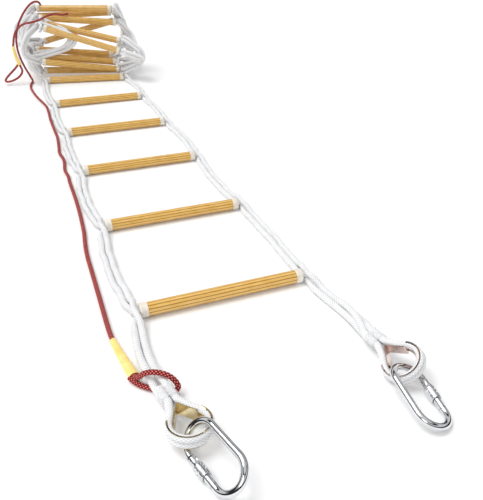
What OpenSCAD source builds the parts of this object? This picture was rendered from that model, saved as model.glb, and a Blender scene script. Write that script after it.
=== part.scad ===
// Escape rope ladder: rungs laid along Y, carabiners at -Y, the rest rolled up at +Y.

/* [Rungs] */
// Distance between rungs along the ladder
rung_pitch = 334; // [300:1:360]
// Number of rungs laid out on the floor
laid_rungs = 6; // [6:1:6]
// Length of a rung tube
tube_len = 300; // [280:1:320]
// Outer diameter of a rung tube
tube_d = 25; // [24:0.5:26]
// Bore of a rung tube
tube_bore = 19; // [16:0.5:20]
// Grooves along a rung tube
tube_grooves = 12; // [8:1:16]
// Outer diameter of a rung cap
cap_d = 27; // [26.6:0.2:27.4]
// Length of a rung cap
cap_len = 14; // [12:1:16]
// Diameter of the rope through a rung
core_d = 9; // [7:0.5:11]

/* [Ropes] */
// Diameter of one rail rope
rope_d = 13; // [11:0.5:13]
// Distance from the middle to a rail at a rung
rail_x = 163; // [162:1:166]
// Diameter of the red line
red_d = 8.5; // [7:0.5:9]

/* [Eyes] */
// Radius of the round end of the thimble's hole
eye_r = 20; // [19:0.5:21]
// Distance from the point of the thimble's hole to the middle of its round end
eye_reach = 38; // [36:1:40]
// How far the right eye and its carabiner lean
right_lean = 35; // [30:1:36]
// Height of the thimble
thimble_h = 20; // [19:0.5:21]
// Thickness of the thimble's strip
strip_t = 1.5; // [1:0.1:2]
// Length of the clear sleeve on the throat
throat_len = 50; // [40:1:55]

/* [Carabiners] */
// Diameter of the carabiner's bar
bar_d = 10.5; // [10:0.1:11]
// Overall length of a carabiner
carabiner_len = 118; // [114:1:122]
// Overall width of a carabiner
carabiner_w = 60; // [58:1:62]
// Diameter of the lock sleeve
lock_d = 16; // [15:0.1:16.2]
// Length of the lock sleeve
lock_len = 24; // [20:1:25]

/* [Hidden] */

// Rungs: a cap reaches seat_depth over the tube, and a rope grip sits outside each cap.
tube_half = tube_len / 2;
seat_depth = 10;
cap_start = tube_half - seat_depth;
cap_end = cap_start + cap_len;
grip_w = 17;
grip_start = cap_end + 0.2;
grip_end = grip_start + grip_w;
groove_d = 2.4;
rung_z = cap_d / 2;
first_y = -795;
last_yaw = -10;
hinge_gap = 14;
last_hinge_gap = 20;

// How far each rail swings out between its rungs, from the first bay on.
left_bow = [10, 10, 5, 6, 8];
right_bow = [4, -7, 11, 8, 14];

// Rolled rungs, in the ladder's order: middle x, y, z, turn about Z, rise of the right end.
rolled = [
    [16, 1005, 220, -10, -5],
    [0, 940, 34, -10, -2],
    [10, 1035, 262, -20, 0],
    [5, 1065, 60, -10, 0],
    [8, 1065, 235, -10, 1.5],
    [-15, 1005, 96, -10, -6],
    [20, 1065, 168, -10, 14],
    [-5, 910, 58, -10, -8],
    [20, 948, 182, -20, -13],
    [-10, 945, 78, -10, -7],
    [10, 905, 160, -20, -17]
];
// Pull of each rope loop from one rung to the next: outwards, and towards +Y.
left_pull = [
    [80, -30], [75, 60], [70, 100], [60, 130], [75, 120], [85, 120], [90, 140], [85, 110],
    [95, -95], [-150, -60], [-175, -55]
];
right_pull = [
    [75, -30], [75, 60], [70, 100], [70, 120], [75, 125], [85, 120], [90, 135], [85, 100],
    [90, -100], [90, -120], [90, -130]
];
loop_rise = 0.25;
rolled_rope_d = 19;
loop_rings = 10;

// Red line on the floor, from the sleeve by the left eye to the roll.
red_z = red_d / 2;
red_split = 0.9;
red_tail = [[-210, -848], [-211, -822]];
red_bays = [
    [[-210, -724], [-209, -637], [-208, -557], [-204, -500]],
    [[-197, -405], [-195, -351], [-194, -295], [-194, -233], [-194, -170]],
    [[-196, -81], [-190, -7], [-195, 55], [-192, 98], [-188, 160]],
    [[-187, 260], [-188, 330], [-188, 400], [-186, 480]],
    [[-190, 580], [-198, 631], [-206, 680], [-213, 740], [-219, 821], [-218, 870]]
];
red_ends = [[-211, -795], [-200, -461], [-193, -127], [-186, 207], [-186, 541], [-212, 912]];
red_up = [
    [-205, 932, 8], [-212, 955, 26], [-226, 970, 60], [-236, 978, 95], [-240, 988, 130],
    [-236, 1004, 170], [-222, 1020, 208], [-202, 1032, 240], [-180, 1042, 266],
    [-158, 1055, 284], [-138, 1070, 290], [-122, 1088, 284], [-114, 1105, 266]
];
red_down = [
    [-20, 1016, 246], [-45, 1004, 244], [-75, 996, 249], [-108, 988, 244], [-140, 980, 232],
    [-172, 974, 226], [-200, 972, 222], [-226, 974, 206], [-243, 976, 180], [-252, 974, 150]
];
far_sleeve = [[-255, 972, 140], [-252, 955, 105], [-243, 938, 72]];
far_loop = [
    [-241, 936, 66], [-238, 932, 52], [-246, 928, 38], [-262, 925, 26], [-282, 925, 18],
    [-300, 930, 14], [-308, 942, 16], [-302, 954, 24], [-288, 960, 36], [-272, 958, 50], [-260, 952, 62]
];

// Eyes: where the throat starts, the direction of the eye on the floor, its height there.
left_eye = [-166.7, -995.8, 9];
left_eye_turn = -80;
right_eye = [174.3, -995, 8];
right_eye_turn = -88;
left_lift = 15.5;
right_lift = 18;
cross_reach = throat_len + 55;
left_tilt = asin((left_lift - left_eye.z) / cross_reach);
right_tilt = asin((right_lift - right_eye.z) / cross_reach);
eye_mid = throat_len + eye_reach;
eye_half_angle = asin(eye_r / eye_reach);
wrap_w = 12;
rope_layers = [[2.5, 5.5, 6.7, 11.5], [5.5, 14.5, 3.7, 13.5], [14.5, 17.5, 6.7, 11.5]];
flare = [[0, 9], [2, 5.5], [6, 1.6], [10, 0], [14, 1.6], [18, 5.5], [20, 9]];
sleeve_wall = 0.8;
sleeve_start = 6;
left_tail = [
    [-163, -809.5, 6.5], [-166, -835, 6.5], [-170, -870, 6.6], [-172, -900, 7],
    [-172, -930, 11], [-170.5, -960, 16.5], [-168.5, -980, 19.5], [-167.4, -991, 20.3]
];
right_tail = [
    [163, -809.5, 6.5], [168, -845, 6.5], [175, -890, 6.6], [179.5, -930, 8],
    [179.5, -956, 11.5], [177.5, -971, 14.5], [175.6, -982, 16.6]
];
line_sleeve = [[-210, -849, 6.2], [-206, -880, 6.2], [-201, -915, 6.5], [-196, -944, 8]];
line_sleeve_d = 12;
loop_route = [
    [-195.5, -947, 8.5], [-191, -957, 15], [-185, -965, 26], [-175, -973, 32.5], [-164, -981, 34],
    [-153.5, -988, 31], [-146, -993, 23], [-143, -996, 14], [-147, -994, 6.5], [-158, -988, 4.3],
    [-170, -981, 4.3], [-182, -972, 4.3], [-192, -962, 4.3], [-199, -951, 4.6]
];

// Carabiners: u runs along the bar, v across to the gate, from the middle of the oval.
bend_r = (carabiner_w - bar_d) / 2;
half_straight = (carabiner_len - bar_d) / 2 - bend_r;
pivot_u = -22.5;
latch_u = 24;
prong = 3;
stub_u = pivot_u - 5.3;
tongue_w = 7;
latch_gap = 0.6;
ring_offset = 33.5;
ring_r = eye_r + (strip_t + wrap_w) / 2;
left_ring = eye_point(left_eye, left_eye_turn, left_tilt, eye_mid + ring_r, 0);
right_ring_at = -25;
right_ring = eye_point(right_eye, right_eye_turn, right_tilt,
    eye_mid + ring_r * cos(right_ring_at), ring_r * sin(right_ring_at));
// How each carabiner hangs from its ring: its turn, its dip, its roll, and the side of its gate.
left_hang = [-75, 0, 46.8, 1];
right_hang = [-101, 2.3, 52.2, -1];
rivet_d = 3.2;
tongue_t = 4;
fork_gap = 4.6;
slot_reach = 5.5;
rivet_len = 10;
bore_d = 5;
spring_len = 15;
spring_turns = 7;
spring_d = 4.4;
wire_d = 0.8;
lock_bore = bar_d + 0.4;
lock_start = 15.5;
lock_dimples = 10;

function rung_y(k) = first_y + (k - 1) * rung_pitch;
function rung_place(k) = [0, rung_y(k), rung_z, k == laid_rungs ? last_yaw : 0, 0];
function rail_middle(bow, far, t) = rail_x + bow * sin(180 * t) + (abs(far.x) - rail_x) * t;
function along(p) = [cos(p[3]) * cos(p[4]), sin(p[3]) * cos(p[4]), sin(p[4])];
function rung_point(p, x) = [p[0], p[1], p[2]] + x * along(p);
function unit(v) = v / norm(v);
function eye_point(p, turn, tilt, e, across) = [
    p.x + e * cos(tilt) * cos(turn) - thimble_h / 2 * sin(tilt) * cos(turn) - across * sin(turn),
    p.y + e * cos(tilt) * sin(turn) - thimble_h / 2 * sin(tilt) * sin(turn) + across * cos(turn),
    p.z + e * sin(tilt) + thimble_h / 2 * cos(tilt)
];

// One point of the smooth curve through a route, at t from one point to the next.
function at(r, i) = i < 0 ? 2 * r[0] - r[1] : i >= len(r) ? 2 * r[len(r) - 1] - r[len(r) - 2] : r[i];
function smooth_point(r, i, t) = let (a = at(r, i - 1), b = at(r, i), c = at(r, i + 1), d = at(r, i + 2))
    0.5 * (2 * b + (c - a) * t + (2 * a - 5 * b + 4 * c - d) * t * t + (3 * b - a - 3 * c + d) * t * t * t);
function smooth(r, steps) = [
    for (i = [0:len(r) - 2]) for (s = [0:steps - 1]) smooth_point(r, i, s / steps),
    r[len(r) - 1]
];
function bezier(a, b, c, d, n) = [
    for (i = [0:n]) let (t = i / n, s = 1 - t)
        s * s * s * a + 3 * s * s * t * b + 3 * s * t * t * c + t * t * t * d
];
function tangents(p) = [
    for (i = [0:len(p) - 1]) unit(p[min(i + 1, len(p) - 1)] - p[max(i - 1, 0)])
];
function square_to(v, t) = unit(v - (v * t) * t);
function frames(t) = [
    for (i = 0, s = square_to(abs(t[0].z) > 0.8 ? [1, 0, 0] : [0, 0, 1], t[0]);
         i < len(t);
         i = i + 1, s = i < len(t) ? square_to(s, t[i]) : s) s
];

// A round tube swept along a list of points.
module tube(p, d, sides) {
    t = tangents(p);
    f = frames(t);
    rings = [
        for (i = [0:len(p) - 1]) for (j = [0:sides - 1])
            let (a = 360 * (j + 0.5) / sides, w = cross(t[i], f[i]))
                p[i] + d / 2 / cos(180 / sides) * (cos(a) * f[i] + sin(a) * w)
    ];
    last = (len(p) - 1) * sides;
    walls = [
        for (i = [0:len(p) - 2]) for (j = [0:sides - 1])
            let (k = (j + 1) % sides)
                [i * sides + j, (i + 1) * sides + j, (i + 1) * sides + k, i * sides + k]
    ];
    ends = [[for (j = [0:sides - 1]) j], [for (j = [sides - 1:-1:0]) last + j]];
    polyhedron(points = rings, faces = concat(walls, ends));
}

module place(p) {
    translate([p[0], p[1], p[2]])
        rotate([0, -p[4], p[3]])
            children();
}

module round_x(d, from, to, fn) {
    translate([from, 0, 0])
        rotate([0, 90, 0])
            cylinder(d = d, h = to - from, $fn = fn);
}

module rung_tube() {
    color([0.86, 0.62, 0.2]) difference() {
        round_x(tube_d, -tube_half, tube_half, 72);
        round_x(tube_bore, -tube_half - 1, tube_half + 1, 48);
        for (i = [0:tube_grooves - 1])
            rotate([i * 360 / tube_grooves, 0, 0])
                translate([0, 0, tube_d / 2 + 0.4])
                    round_x(groove_d, -tube_half - 1, tube_half + 1, 16);
    }
}

module rung_cap() {
    r = cap_d / 2;
    seat_r = tube_d / 2 + 0.1;
    hole_r = core_d / 2 + 0.15;
    wall = seat_depth + 0.1;
    translate([cap_start, 0, 0])
        rotate([0, 90, 0])
            rotate_extrude($fn = 64)
                polygon([
                    [seat_r, 0], [r - 0.4, 0], [r, 0.6], [r, cap_len - 3.2], [r - 0.7, cap_len - 1.3],
                    [r - 2.2, cap_len - 0.3], [r - 4, cap_len], [hole_r, cap_len], [hole_r, wall],
                    [seat_r, wall]
                ]);
}

module rung_caps() {
    color([0.93, 0.88, 0.85]) {
        rung_cap();
        mirror([1, 0, 0]) rung_cap();
    }
}

module grip() {
    r = cap_d / 2;
    translate([grip_start, 0, 0])
        rotate([0, 90, 0])
            rotate_extrude($fn = 48)
                polygon([[0, 0], [r - 2, 0], [r, 2], [r, grip_w - 4], [r - 4, grip_w], [0, grip_w]]);
}

module core_rope() {
    color([0.93, 0.93, 0.91]) union() {
        round_x(core_d, -grip_end + 1, grip_end - 1, 32);
        grip();
        mirror([1, 0, 0]) grip();
    }
}

// A rail's two ropes between rung k and rung k + 1, side by side on the floor.
module rail(k, side) {
    bow = side < 0 ? left_bow[k - 1] : right_bow[k - 1];
    far = rung_point(rung_place(k + 1), side * rail_x);
    far_gap = k == laid_rungs - 1 ? last_hinge_gap : hinge_gap;
    y1 = rung_y(k) + hinge_gap;
    y2 = far.y - far_gap;
    color([0.94, 0.94, 0.93])
        for (j = [-1, 1])
            tube([
                for (i = [0:9]) let (t = i / 9)
                    [
                        side * rail_middle(bow, far, t) + j * (rope_d / 2 + 0.05),
                        y1 + (y2 - y1) * t,
                        rope_d / 2
                    ]
            ], rope_d - 0.1, 8);
}

module red_bay(k) {
    a = red_ends[k - 1] + [0, red_split];
    b = red_ends[k] - [0, red_split];
    route = [for (p = concat([a], red_bays[k - 1], [b])) [p.x, p.y, red_z]];
    color([0.55, 0.07, 0.1]) tube(smooth(route, 2), red_d, 8);
}

// The red line's eye round the left tail, and its end inside the sleeve's mouth.
module red_loop() {
    tail = [for (p = concat(red_tail, [red_ends[0] - [0, red_split]])) [p.x, p.y, red_z]];
    color([0.55, 0.07, 0.1]) {
        tube(smooth(loop_route, 2), red_d, 8);
        tube(smooth(tail, 2), red_d, 8);
    }
}

module rolled_places() {
    for (p = rolled)
        place(p) children();
}

function loop(side, n, pulls) =
    let (
        a = rung_point(n == 0 ? rung_place(laid_rungs) : rolled[n - 1], side * rail_x),
        b = rung_point(rolled[n], side * rail_x),
        pull = [side * pulls[n].x, pulls[n].y, 0],
        rise = [0, 0, loop_rise * (b.z - a.z)]
    ) bezier(a, a + pull + rise, b + pull - rise, b, loop_rings);

// The rope loops at one side of the roll, cut clear of the rungs and the red line.
module rolled_ropes(side, pulls) {
    color([0.94, 0.94, 0.93]) difference() {
        for (n = [0:len(rolled) - 1])
            tube(loop(side, n, pulls), rolled_rope_d, 8);
        for (n = [0:len(rolled)])
            place(n == 0 ? rung_place(laid_rungs) : rolled[n - 1])
                round_x(cap_d + 0.6, -grip_end - 0.3, grip_end + 0.3, 20);
        if (side < 0)
            for (route = [red_up_route(), red_down, far_sleeve, far_loop])
                tube(smooth(route, 2), line_sleeve_d + 1, 8);
        translate([-500, 700, -100])
            cube([1000, 600, 100]);
    }
}

function red_up_route() = concat([[red_ends[5].x, red_ends[5].y + red_split, red_z]], red_up);

module rolled_red_line() {
    color([0.55, 0.07, 0.1]) {
        tube(smooth(red_up_route(), 2), red_d, 8);
        tube(smooth(red_down, 2), red_d, 8);
        tube(smooth(far_loop, 2), red_d - 1, 8);
    }
}

// The eye stands in its own frame: x from the throat to the round end, z from its lower face.
module eye_frame(p, turn, tilt) {
    translate(p)
        rotate([0, 0, turn])
            rotate([0, -tilt, 0])
                children();
}

module point_sides(o) {
    r = eye_r + o;
    a = 90 + eye_half_angle;
    translate([eye_mid, 0])
        polygon([[-r / sin(eye_half_angle), 0], [r * cos(a), r * sin(a)], [r * cos(a), -r * sin(a)]]);
}

module teardrop(o) {
    point_sides(o);
    translate([eye_mid, 0])
        circle(r = eye_r + o, $fn = 96);
}

// Turns an outline of radius and height round the end of the eye.
module round_end(outline) {
    translate([eye_mid, 0, 0])
        rotate([0, 0, -eye_half_angle - 90.5])
            rotate_extrude(angle = 181 + 2 * eye_half_angle, $fn = 96)
                polygon(outline);
}

function flare_line(o) = [for (f = flare) [eye_r + f[1] + o, f[0]]];
function back_line(o) = [for (i = [len(flare) - 1:-1:0]) [eye_r + flare[i][1] + o, flare[i][0]]];

// The ropes round an eye: three layers, each clear of the thimble, and the throat.
module eye_rope() {
    union() {
        for (l = rope_layers)
            translate([0, 0, l[0]])
                linear_extrude(l[1] - l[0])
                    difference() {
                        teardrop(l[3]);
                        teardrop(l[2]);
                    }
        translate([0, -rope_d, rope_layers[0][0]])
            cube([throat_len - 13, 2 * rope_d, thimble_h - 2 * rope_layers[0][0]]);
    }
}

// A tail's two ropes, and the eye that they make.
module tail_rope(route) {
    color([0.94, 0.94, 0.93]) {
        children();
        for (j = [-1, 1])
            tube(smooth([for (q = route) q + [j * (rope_d / 2 + 0.05), 0, 0]], 1), rope_d - 0.1, 8);
    }
}

module thimble() {
    color([0.83, 0.74, 0.5]) {
        linear_extrude(thimble_h)
            difference() {
                point_sides(strip_t);
                teardrop(0);
            }
        round_end(concat(flare_line(0), back_line(strip_t)));
    }
}

module clear_sleeve() {
    w = 2 * rope_d + 0.6;
    h = thimble_h - 2 * strip_t + 0.4;
    mid = thimble_h / 2;
    color([0.85, 0.87, 0.9, 0.5]) difference() {
        translate([sleeve_start, -w / 2 - sleeve_wall, mid - h / 2 - sleeve_wall])
            cube([throat_len - 24, w + 2 * sleeve_wall, h + 2 * sleeve_wall]);
        translate([sleeve_start - 1, -w / 2, mid - h / 2])
            cube([throat_len, w, h]);
    }
}

// A carabiner's frame: x along its length, y across to the gate.
module carabiner_frame(ring, hang) {
    translate(ring)
        rotate([0, hang[1], hang[0]])
            translate([ring_offset, 0, 0])
                rotate([hang[3] * hang[2], 0, 0])
                    mirror([0, hang[3] > 0 ? 1 : 0, 0])
                        children();
}

// The right eye and its carabiner lean about the eye's middle line, right side up.
module right_side_up() {
    middle = eye_point(right_eye, right_eye_turn, right_tilt, 0, 0);
    translate(middle)
        rotate([0, 0, right_eye_turn])
            rotate([0, -right_tilt, 0])
                rotate([right_lean, 0, 0])
                    rotate([0, right_tilt, 0])
                        rotate([0, 0, -right_eye_turn])
                            translate(-middle)
                                children();
}

module bend(turn) {
    translate([(turn == 0 ? 1 : -1) * half_straight, 0, 0])
        rotate([0, 0, turn - 90])
            rotate_extrude(angle = 180, $fn = 72)
                translate([bend_r, 0])
                    circle(d = bar_d, $fn = 32);
}

module bar(from, to, v) {
    translate([0, v, 0])
        round_x(bar_d, from, to, 32);
}

module carabiner_bar() {
    color([0.8, 0.81, 0.83]) difference() {
        union() {
            bend(0);
            bend(180);
            bar(-half_straight, half_straight, -bend_r);
            bar(-half_straight, stub_u, bend_r);
            bar(latch_u + latch_gap, half_straight, bend_r);
            translate([stub_u - 0.6, bend_r - tongue_w / 2, -tongue_t / 2])
                cube([pivot_u - stub_u + 3.8, tongue_w, tongue_t]);
        }
        translate([pivot_u, bend_r, -bar_d])
            cylinder(d = rivet_d + 0.2, h = 2 * bar_d, $fn = 32);
    }
}

module gate() {
    color([0.8, 0.81, 0.83]) difference() {
        bar(pivot_u - prong, latch_u, bend_r);
        translate([pivot_u - prong - 1, bend_r - bar_d, -fork_gap / 2])
            cube([prong + 1 + slot_reach, 2 * bar_d, fork_gap]);
        translate([pivot_u, bend_r, -bar_d])
            cylinder(d = rivet_d, h = 2 * bar_d, $fn = 32);
        translate([0, bend_r, 0])
            round_x(bore_d, pivot_u + slot_reach - 1, pivot_u + slot_reach + spring_len + 1, 32);
    }
}

module rivet() {
    color([0.62, 0.63, 0.65])
        translate([pivot_u, bend_r, -rivet_len / 2])
            cylinder(d = rivet_d - 0.04, h = rivet_len, $fn = 32);
}

module gate_spring() {
    r = (spring_d - wire_d) / 2;
    color([0.6, 0.6, 0.6])
        translate([pivot_u + slot_reach - 0.5, bend_r, 0])
            tube([
                for (i = [0:10 * spring_turns])
                    [i * spring_len / (10 * spring_turns), r * cos(36 * i), r * sin(36 * i)]
            ], wire_d, 6);
}

// The lock sleeve: a barrel with a tapered foot, an open mouth and two rings of dimples.
module lock_sleeve() {
    r = lock_d / 2;
    bore_r = lock_bore / 2;
    color([0.72, 0.73, 0.75])
        translate([-lock_start, bend_r, 0])
            difference() {
                rotate([0, 90, 0])
                    rotate_extrude($fn = 64)
                        polygon([
                            [bore_r, 0], [bore_r + 1, 0], [r, 5.5], [r, lock_len - 0.8], [r - 0.8, lock_len],
                            [bore_r + 1.3, lock_len], [bore_r + 1.3, lock_len - 1.2], [bore_r, lock_len - 1.2]
                        ]);
                for (u = [9.5, 15.5])
                    for (i = [0:lock_dimples - 1])
                        rotate([i * 360 / lock_dimples, 0, 0])
                            translate([u, 0, r - 0.8])
                                cylinder(d = 2.6, h = 2, $fn = 16);
            }
}

module shrink_sleeve(line) {
    color([0.97, 0.87, 0.45]) tube(line, line_sleeve_d, 12);
}

module left_eye_place() { eye_frame(left_eye, left_eye_turn, left_tilt) children(); }
module right_eye_place() { right_side_up() eye_frame(right_eye, right_eye_turn, right_tilt) children(); }
module left_carabiner_place() { carabiner_frame(left_ring, left_hang) children(); }
module right_carabiner_place() { right_side_up() carabiner_frame(right_ring, right_hang) children(); }

for (k = [1:laid_rungs]) {
    place(rung_place(k)) rung_tube();
    place(rung_place(k)) rung_caps();
    place(rung_place(k)) core_rope();
}
for (k = [1:laid_rungs - 1]) {
    rail(k, -1);
    rail(k, 1);
    red_bay(k);
}
rolled_places() rung_tube();  // rolled_rungs
rolled_places() rung_caps();  // rolled_caps
rolled_places() core_rope();  // rolled_core_ropes
rolled_ropes(-1, left_pull);  // rolled_left_ropes
rolled_ropes(1, right_pull);  // rolled_right_ropes
rolled_red_line();
shrink_sleeve(smooth(far_sleeve, 3));  // far_line_sleeve
tail_rope(left_tail) left_eye_place() eye_rope();  // left_tail_rope
left_eye_place() thimble();  // left_thimble
left_eye_place() clear_sleeve();  // left_clear_sleeve
red_loop();  // red_line_loop
shrink_sleeve(smooth(line_sleeve, 2));
tail_rope(right_tail) right_eye_place() eye_rope();  // right_tail_rope
right_eye_place() thimble();  // right_thimble
right_eye_place() clear_sleeve();  // right_clear_sleeve
left_carabiner_place() carabiner_bar();  // left_carabiner
left_carabiner_place() gate();  // left_gate
left_carabiner_place() rivet();  // left_rivet
left_carabiner_place() gate_spring();  // left_spring
left_carabiner_place() lock_sleeve();  // left_lock_sleeve
right_carabiner_place() carabiner_bar();  // right_carabiner
right_carabiner_place() gate();  // right_gate
right_carabiner_place() rivet();  // right_rivet
right_carabiner_place() gate_spring();  // right_spring
right_carabiner_place() lock_sleeve();  // right_lock_sleeve
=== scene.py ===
from math import asin, cos, pi, radians, sin, tan

import bpy
import numpy as np
from mathutils import Euler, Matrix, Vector


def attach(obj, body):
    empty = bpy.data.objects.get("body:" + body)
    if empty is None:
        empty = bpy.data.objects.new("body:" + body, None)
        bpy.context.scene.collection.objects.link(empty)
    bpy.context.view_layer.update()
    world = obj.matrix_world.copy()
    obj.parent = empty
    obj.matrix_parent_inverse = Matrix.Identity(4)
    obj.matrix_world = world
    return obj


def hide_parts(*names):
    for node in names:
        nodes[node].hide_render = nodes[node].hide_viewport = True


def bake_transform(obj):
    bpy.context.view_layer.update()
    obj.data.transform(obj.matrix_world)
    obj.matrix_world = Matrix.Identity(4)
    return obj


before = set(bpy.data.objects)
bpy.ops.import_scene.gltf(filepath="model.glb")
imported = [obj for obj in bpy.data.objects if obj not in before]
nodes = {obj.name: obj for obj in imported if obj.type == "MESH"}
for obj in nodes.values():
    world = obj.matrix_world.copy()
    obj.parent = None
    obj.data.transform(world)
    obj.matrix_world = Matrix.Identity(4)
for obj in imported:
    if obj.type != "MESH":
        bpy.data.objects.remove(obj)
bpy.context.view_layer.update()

MM = 0.001

# ---------------------------------------------------------------- camera
# How far it looks down, and right of y, in degrees.
LOOKS_DOWN, LOOKS_RIGHT = 30.247, 21.472
camera = bpy.data.objects.new("camera", bpy.data.cameras.new("camera"))
bpy.context.scene.collection.objects.link(camera)
bpy.context.scene.camera = camera
camera.data.lens = 41.5
camera.data.sensor_width = 36
camera.data.clip_start = 0.02
camera.location = (-0.2838, -1.6015, 0.5992)
camera.rotation_euler = Euler((radians(90 - LOOKS_DOWN), 0, radians(-LOOKS_RIGHT)))

# ---------------------------------------------------------------- sizes, as in part.scad, in millimetres
RUNG_PITCH, LAID, FIRST_Y = 334, 6, -795
TUBE_D, TUBE_HALF, GROOVES = 25, 150, 12
CORE_D, ROPE_D, RED_D = 9, 13, 8.5
RAIL_X, RUNG_Z, LAST_YAW = 163, 13.5, -10
HINGE_GAP, LAST_HINGE_GAP = 14, 20
# How far each bay's rails bow out, from the first bay, on the left (-1) and the right (1).
BOWS = {-1: [10, 10, 5, 6, 8], 1: [4, -7, 11, 8, 14]}
# The rungs in the roll, in the order in which the ropes reach them: middle, yaw and rise of the axis.
ROLLED = [
    (16, 1005, 220, -10, -5), (0, 940, 34, -10, -2), (10, 1035, 262, -20, 0), (5, 1065, 60, -10, 0),
    (8, 1065, 235, -10, 1.5), (-15, 1005, 96, -10, -6), (20, 1065, 168, -10, 14),
    (-5, 910, 58, -10, -8), (20, 948, 182, -20, -13), (-10, 945, 78, -10, -7), (10, 905, 160, -20, -17),
]
# How far the loop between each two of them is drawn outward and along y, by side.
PULLS = {
    -1: [(80, -30), (75, 60), (70, 100), (60, 130), (75, 120), (85, 120), (90, 140),
         (85, 110), (95, -95), (-150, -60), (-175, -55)],
    1: [(75, -30), (75, 60), (70, 100), (70, 120), (75, 125), (85, 120), (90, 135),
        (85, 100), (90, -100), (90, -120), (90, -130)],
}
# How much of the climb between two rungs a loop takes before and after its two pulled points.
LOOP_RISE = 0.25
# An eye, along its own x axis: its throat, and the way on to its round end's middle. Then that end's
# radius and the thimble's height. EYE_CROSS is where the eye's floor reaches the height "lift".
THROAT, REACH, EYE_R, THIMBLE_H = 50, 38, 20, 20
EYE_MID, EYE_CROSS = THROAT + REACH, THROAT + 55
EYE_LEVEL = THIMBLE_H / 2
EYE_HALF = asin(EYE_R / REACH)
EYES = {
    "left": {"at": np.array([-166.7, -995.8, 9.0]), "turn": radians(-80), "lift": 15.5, "lean": 0.0},
    "right": {"at": np.array([174.3, -995.0, 8.0]), "turn": radians(-88), "lift": 18.0, "lean": radians(35)},
}
for e in EYES.values():
    e["tilt"] = asin((e["lift"] - e["at"][2]) / EYE_CROSS)
# Routes: the tails and the red line, each point x, y and where needed z.
TAILS = {
    "left": [(-163, -809.5, 6.6), (-166, -835, 6.6), (-170, -870, 6.7), (-172, -900, 7.2),
             (-172, -930, 11), (-170.5, -960, 16), (-168.8, -980, 18.2)],
    "right": [(163, -809.5, 6.6), (168, -845, 6.6), (175, -890, 6.7), (179.5, -930, 8.1),
              (179.5, -956, 11.5), (177.5, -971, 14.5)],
}
RED_TAIL = [(-210, -848), (-211, -822)]
RED_BAYS = [
    [(-210, -724), (-209, -637), (-208, -557), (-204, -500)],
    [(-197, -405), (-195, -351), (-194, -295), (-194, -233), (-194, -170)],
    [(-196, -81), (-190, -7), (-195, 55), (-192, 98), (-188, 160)],
    [(-187, 260), (-188, 330), (-188, 400), (-186, 480)],
    [(-190, 580), (-198, 631), (-206, 680), (-213, 740), (-219, 821), (-218, 870)],
]
RED_ENDS = [(-211, -795), (-200, -461), (-193, -127), (-186, 207), (-186, 541), (-212, 912)]
RED_UP = [
    (-205, 932, 8), (-212, 955, 26), (-226, 970, 60), (-236, 978, 95), (-240, 988, 130),
    (-236, 1004, 170), (-222, 1020, 208), (-202, 1032, 240), (-180, 1042, 266),
    (-158, 1055, 284), (-138, 1070, 290), (-122, 1088, 284), (-114, 1105, 266),
]
RED_DOWN = [
    (-20, 1016, 246), (-45, 1004, 244), (-75, 996, 249), (-108, 988, 244), (-140, 980, 232),
    (-172, 974, 226), (-200, 972, 222), (-226, 974, 206), (-243, 976, 180), (-252, 974, 150),
]
FAR_SLEEVE = [(-255, 972, 140), (-252, 955, 105), (-243, 938, 72)]
FAR_LOOP = [
    (-241, 936, 66), (-238, 932, 52), (-246, 928, 38), (-262, 925, 26), (-282, 925, 18),
    (-300, 930, 14), (-308, 942, 16), (-302, 954, 24), (-288, 960, 36), (-272, 958, 50),
]
NEAR_SLEEVE = [(-210, -849, 6.2), (-206, -880, 6.2), (-201, -915, 6.5), (-196, -944, 8)]
NEAR_LOOP = [
    (-195.5, -947, 8.5), (-191, -957, 15), (-185, -965, 26), (-175, -973, 32.5), (-164, -981, 34),
    (-153.5, -988, 31), (-146, -993, 23), (-143, -996, 14), (-147, -994, 6.5), (-158, -988, 4.3),
    (-170, -981, 4.3), (-182, -972, 4.3), (-192, -962, 4.3), (-199, -951, 4.6),
]


# ---------------------------------------------------------------- lines
def curve_through(route, per=16):
    """A dense smooth line through a route's points."""
    p = np.array(route, float)
    p = np.vstack([2 * p[0] - p[1], p, 2 * p[-1] - p[-2]])
    t = (np.arange(per) / per)[:, None]
    out = []
    for a, b, c, d in zip(p[:-3], p[1:-2], p[2:-1], p[3:]):
        out.append(0.5 * (2 * b + (c - a) * t + (2 * a - 5 * b + 4 * c - d) * t**2
                          + (3 * b - a - 3 * c + d) * t**3))
    return np.vstack(out + [p[-2:-1]])


def arc_length(line):
    """How far along the line each of its points is."""
    return np.concatenate([[0], np.cumsum(np.linalg.norm(np.diff(line, axis=0), axis=1))])


def spaced(line, step):
    """The line again with points an even step apart, and its length so far at each."""
    along = arc_length(line)
    at = np.linspace(0, along[-1], max(2, round(along[-1] / step)) + 1)
    return np.stack([np.interp(at, along, line[:, k]) for k in range(3)], axis=1), at


def unit(v):
    return v / np.maximum(np.linalg.norm(v, axis=-1, keepdims=True), 1e-12)


def directions(line):
    """The line's direction at each of its points."""
    return unit(np.vstack([line[1:2] - line[:1], line[2:] - line[:-2], line[-1:] - line[-2:-1]]))


def carried(line, up=(0, 0, 1)):
    """A vector square to the line, carried along it without turning round it."""
    t = directions(line)
    out = np.empty_like(line)
    v = np.array(up, float)
    for i, d in enumerate(t):
        v = v - (v @ d) * d
        v /= np.linalg.norm(v)
        out[i] = v
    return out


def smoothstep(x):
    x = np.clip(x, 0, 1)
    return x * x * (3 - 2 * x)


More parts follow.
